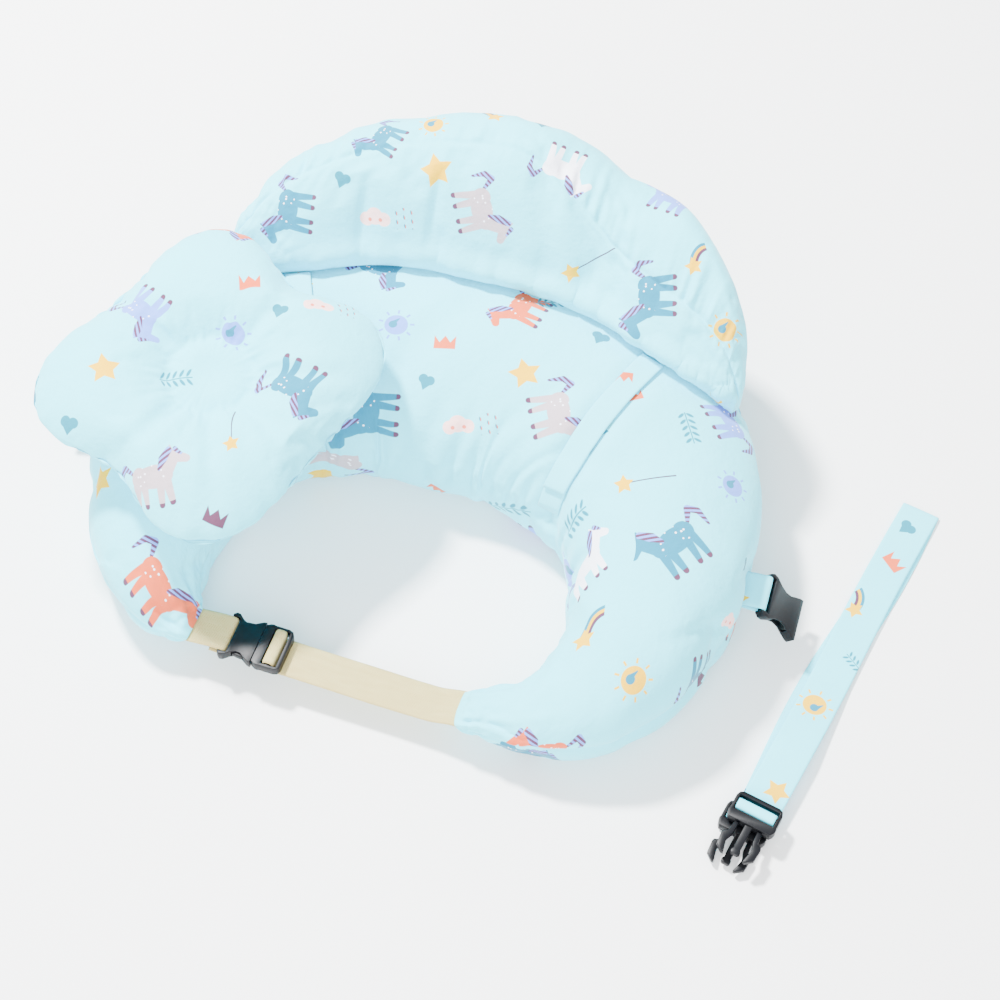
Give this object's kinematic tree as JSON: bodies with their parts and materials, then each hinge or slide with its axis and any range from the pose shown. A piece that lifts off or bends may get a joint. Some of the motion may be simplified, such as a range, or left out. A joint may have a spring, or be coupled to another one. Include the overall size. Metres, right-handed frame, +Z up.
{
  "type": "nursing pillow",
  "caption": "U-shaped nursing pillow with a raised crescent guard cushion, a dented four-lobed baby head pillow, a buckled waist belt and a loose buckle-ended back strap.",
  "frame": {"origin": "on the floor, under the middle of the closed back of the U, on the flat underside of the main pillow", "axes": "+X towards the wearer's left arm, the side where the loose strap lies; +Y away from the wearer, towards the closed back of the U and the guard; +Z up"},
  "size_m": [0.8735, 0.6259, 0.2668],
  "materials": {
    "printed_cloth": "soft brushed cotton with a printed pattern",
    "lining_cloth": "soft brushed cotton with a printed pattern",
    "filling": "polyester fibre fill",
    "webbing": "flat woven webbing",
    "buckle_plastic": "satin moulded acetal",
    "hook_tape": "hook tape",
    "zip": "nylon coil zip"
  },
  "bodies": {
    "pillow": {"main_top_cover": "printed_cloth", "main_bottom_cover": "lining_cloth", "main_filling": "filling", "main_zip_tape": "zip", "main_band_anchor_right": "lining_cloth", "main_band_anchor_left": "lining_cloth", "waist_web_short": "webbing", "waist_buckle_socket": "buckle_plastic", "waist_web_long": "webbing", "side_tab_right": "printed_cloth", "side_tab_left": "printed_cloth"},
    "zip_slider": {"main_zip_slider": "zip"},
    "guard": {"guard_front_panel": "printed_cloth", "guard_gathered_strip": "lining_cloth", "guard_base_panel": "lining_cloth", "guard_filling": "filling", "guard_band_right": "printed_cloth", "guard_band_hook_right": "hook_tape", "guard_band_left": "printed_cloth", "guard_band_hook_left": "hook_tape"},
    "head": {"head_top_cover": "printed_cloth", "head_dent_panel": "printed_cloth", "head_bottom_cover": "lining_cloth", "head_filling": "filling"},
    "right_socket": {"side_socket_right": "buckle_plastic"},
    "left_socket": {"side_socket_left": "buckle_plastic"},
    "waist_plug": {"waist_buckle_plug": "buckle_plastic", "waist_web_turn": "webbing"},
    "waist_arm_back": {"waist_buckle_arm_back": "buckle_plastic"},
    "waist_arm_front": {"waist_buckle_arm_front": "buckle_plastic"},
    "strap": {"strap_band": "printed_cloth"},
    "upper_plug": {"strap_plug_upper": "buckle_plastic", "strap_turn_upper": "printed_cloth"},
    "upper_arm_a": {"strap_plug_upper_arm_a": "buckle_plastic"},
    "upper_arm_b": {"strap_plug_upper_arm_b": "buckle_plastic"},
    "lower_plug": {"strap_plug_lower": "buckle_plastic", "strap_turn_lower": "printed_cloth"},
    "lower_arm_a": {"strap_plug_lower_arm_a": "buckle_plastic"},
    "lower_arm_b": {"strap_plug_lower_arm_b": "buckle_plastic"}
  },
  "joints": [
    {"name": "zip_slide", "type": "slide", "parent": "pillow", "child": "zip_slider", "axis": [1, 0, 0], "range_m": [0, 0.24]},
    {"name": "guard_lift", "type": "slide", "parent": "pillow", "child": "guard", "axis": [0, 0, 1], "range_m": [0, 0.15]},
    {"name": "head_lift", "type": "slide", "parent": "guard", "child": "head", "axis": [0, 0, 1], "range_m": [0, 0.2]},
    {"name": "right_socket_swing", "type": "hinge", "parent": "pillow", "child": "right_socket", "pos_m": [0.3461, -0.176, 0.06728], "axis": [0, 1, 0], "range_deg": [-75, 43]},
    {"name": "left_socket_swing", "type": "hinge", "parent": "pillow", "child": "left_socket", "pos_m": [-0.34242, -0.14, 0.06769], "axis": [0, -1, 0], "range_deg": [-75, 43]},
    {"name": "waist_unclip", "type": "slide", "parent": "pillow", "child": "waist_plug", "axis": [0.9988, -0.0486, 0], "range_m": [0, 0.034], "deforming": ["waist_buckle_arm_back", "waist_buckle_arm_front"]},
    {"name": "waist_arm_back_press", "type": "hinge", "parent": "waist_plug", "child": "waist_arm_back", "pos_m": [-0.09977, -0.34096, 0.038], "axis": [0, 0, 1], "range_deg": [0, 10], "stiffness_Nm_per_rad": 0.3},
    {"name": "waist_arm_front_press", "type": "hinge", "parent": "waist_plug", "child": "waist_arm_front", "pos_m": [-0.10087, -0.36353, 0.038], "axis": [0, 0, -1], "range_deg": [0, 10], "stiffness_Nm_per_rad": 0.3},
    {"name": "strap_lift", "type": "slide", "parent": "pillow", "child": "strap", "axis": [0, 0, 1], "range_m": [0, 0.3]},
    {"name": "upper_plug_adjust", "type": "slide", "parent": "strap", "child": "upper_plug", "axis": [0.2247, 0.9744, 0], "range_m": [0, 0.04]},
    {"name": "upper_arm_a_press", "type": "hinge", "parent": "upper_plug", "child": "upper_arm_a", "pos_m": [0.37143, -0.39124, 0.0206], "axis": [0, 0, 1], "range_deg": [0, 8], "stiffness_Nm_per_rad": 0.3},
    {"name": "upper_arm_b_press", "type": "hinge", "parent": "upper_plug", "child": "upper_arm_b", "pos_m": [0.39345, -0.39632, 0.0206], "axis": [0, 0, -1], "range_deg": [0, 8], "stiffness_Nm_per_rad": 0.3},
    {"name": "lower_plug_adjust", "type": "slide", "parent": "strap", "child": "lower_plug", "axis": [0.2247, 0.9744, 0], "range_m": [0, 0.04]},
    {"name": "lower_arm_a_press", "type": "hinge", "parent": "lower_plug", "child": "lower_arm_a", "pos_m": [0.36521, -0.39597, 0.0074], "axis": [0, 0, 1], "range_deg": [0, 8], "stiffness_Nm_per_rad": 0.3},
    {"name": "lower_arm_b_press", "type": "hinge", "parent": "lower_plug", "child": "lower_arm_b", "pos_m": [0.38723, -0.40104, 0.0074], "axis": [0, 0, -1], "range_deg": [0, 8], "stiffness_Nm_per_rad": 0.3}
  ],
  "couplings": [
    {"joint": "waist_arm_front_press", "follows": "waist_arm_back_press", "ratio": 1},
    {"joint": "upper_arm_b_press", "follows": "upper_arm_a_press", "ratio": 1},
    {"joint": "lower_arm_b_press", "follows": "lower_arm_a_press", "ratio": 1}
  ]
}
